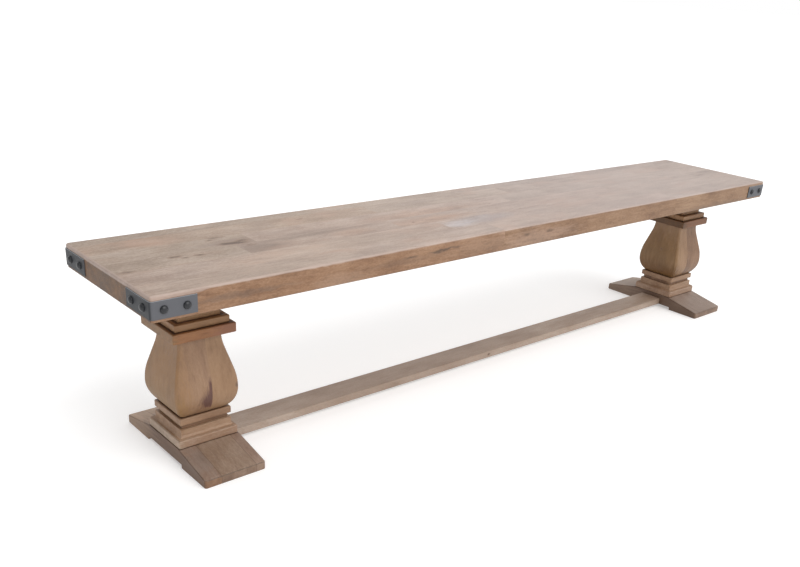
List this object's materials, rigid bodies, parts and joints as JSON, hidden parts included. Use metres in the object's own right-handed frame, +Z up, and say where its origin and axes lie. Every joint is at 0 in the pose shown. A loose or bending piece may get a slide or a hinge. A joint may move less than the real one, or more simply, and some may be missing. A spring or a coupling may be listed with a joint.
{
  "type": "dining bench",
  "caption": "Long dining bench: thick staved wooden seat with steel corner straps, square baluster pedestals on sloping feet, and a low stretcher.",
  "frame": {"origin": "on the floor under the middle of the seat", "axes": "+X along the seat, -Y out of the front long edge, +Z up"},
  "size_m": [2.267, 0.417, 0.46],
  "materials": {
    "seat_wood": "limed matt",
    "leg_wood": "waxed satin",
    "foot_wood": "waxed satin",
    "raw_wood": "sanded, unfinished",
    "bracket_steel": "satin gunmetal",
    "stud_steel": "satin black",
    "zinc_steel": "zinc plated"
  },
  "bodies": {
    "root": {"bearer_left": "raw_wood", "bearer_right": "raw_wood", "bracket_studs": "stud_steel", "cap_plate_left": "leg_wood", "cap_plate_right": "leg_wood", "cap_step_left": "leg_wood", "cap_step_right": "leg_wood", "coach_screws": "zinc_steel", "collar_left": "leg_wood", "collar_right": "leg_wood", "corner_bracket_back_left": "bracket_steel", "corner_bracket_back_right": "bracket_steel", "corner_bracket_front_left": "bracket_steel", "corner_bracket_front_right": "bracket_steel", "cove_block_left": "leg_wood", "cove_block_right": "leg_wood", "foot_inner_board_left": "foot_wood", "foot_inner_board_right": "foot_wood", "foot_middle_board_left": "foot_wood", "foot_middle_board_right": "foot_wood", "foot_outer_board_left": "foot_wood", "foot_outer_board_right": "foot_wood", "neck_block_left": "leg_wood", "neck_block_right": "leg_wood", "plinth_base_left": "leg_wood", "plinth_base_right": "leg_wood", "plinth_top_left": "leg_wood", "plinth_top_right": "leg_wood", "seat_stave_1_1": "seat_wood", "seat_stave_1_2": "seat_wood", "seat_stave_1_3": "seat_wood", "seat_stave_2_1": "seat_wood", "seat_stave_2_2": "seat_wood", "seat_stave_2_3": "seat_wood", "seat_stave_3_1": "seat_wood", "seat_stave_3_2": "seat_wood", "seat_stave_3_3": "seat_wood", "seat_stave_3_4": "seat_wood", "seat_stave_4_1": "seat_wood", "seat_stave_4_2": "seat_wood", "seat_stave_4_3": "seat_wood", "seat_stave_5_1": "seat_wood", "seat_stave_5_2": "seat_wood", "seat_stave_5_3": "seat_wood", "seat_stave_6_1": "seat_wood", "seat_stave_6_2": "seat_wood", "stretcher": "foot_wood", "tie_bolt_nuts": "zinc_steel", "tie_bolt_washers": "zinc_steel", "tie_bolts": "zinc_steel", "urn_inner_left": "leg_wood", "urn_inner_right": "leg_wood", "urn_outer_left": "leg_wood", "urn_outer_right": "leg_wood"}
  },
  "joints": []
}
